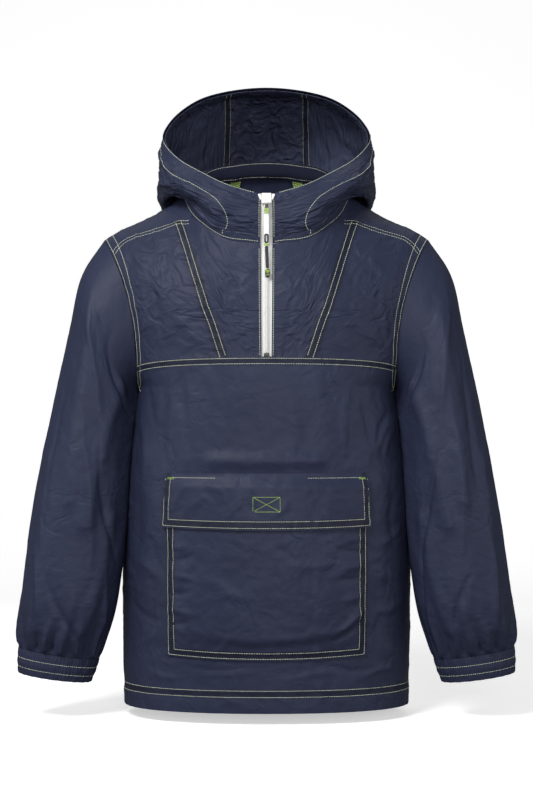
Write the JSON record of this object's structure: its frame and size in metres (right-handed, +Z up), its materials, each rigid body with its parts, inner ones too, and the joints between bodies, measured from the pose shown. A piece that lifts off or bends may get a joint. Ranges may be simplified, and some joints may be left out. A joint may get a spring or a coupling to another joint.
{
  "type": "anorak pullover",
  "caption": "Child's navy pull-over anorak with a hood, half zip, yoke seams, large flapped kangaroo pocket and gathered cuffs, filled out as if worn",
  "frame": {"origin": "the middle of the neck opening, level with the neck points of the shoulder seams", "axes": "+X to the viewer's right, -Y the garment's front, +Z up"},
  "size_m": [0.6026, 0.2915, 0.758],
  "materials": {
    "navy_cloth": "plain-woven nylon with a soft satin sheen",
    "navy_cloth_inside": "plain-woven nylon, duller",
    "green_overlock": "overlocked edge covered in thread",
    "white_zip": "white moulded plastic and woven tape",
    "black_trim": "black webbing and stop"
  },
  "bodies": {
    "root": {"front_lower": "navy_cloth", "back_centre": "navy_cloth", "back_side_left": "navy_cloth", "back_side_right": "navy_cloth", "yoke_centre_left": "navy_cloth", "yoke_centre_right": "navy_cloth", "yoke_side_left": "navy_cloth", "yoke_side_right": "navy_cloth", "sleeve_left": "navy_cloth", "sleeve_right": "navy_cloth", "cuff_left": "navy_cloth", "cuff_right": "navy_cloth", "hood_centre": "navy_cloth", "hood_side_left": "navy_cloth", "hood_side_right": "navy_cloth", "pocket": "navy_cloth", "pocket_flap": "navy_cloth", "hood_facing": "navy_cloth_inside", "neck_tape": "navy_cloth_inside", "seam_allowance_left": "green_overlock", "seam_allowance_right": "green_overlock", "zip_tape_left": "white_zip", "zip_tape_right": "white_zip", "zip_chain": "white_zip", "zip_slider": "white_zip", "zip_stop": "black_trim"},
    "zip_pull": {"pull_tab": "white_zip", "puller_loop": "black_trim", "puller_whip": "green_overlock", "puller_strap": "black_trim", "puller_end": "green_overlock"}
  },
  "joints": [
    {"name": "zip_pull_swing", "type": "hinge", "parent": "root", "child": "zip_pull", "pos_m": [0, -0.09056, 0.004], "axis": [-1, 0, 0], "range_deg": [0, 160]}
  ]
}
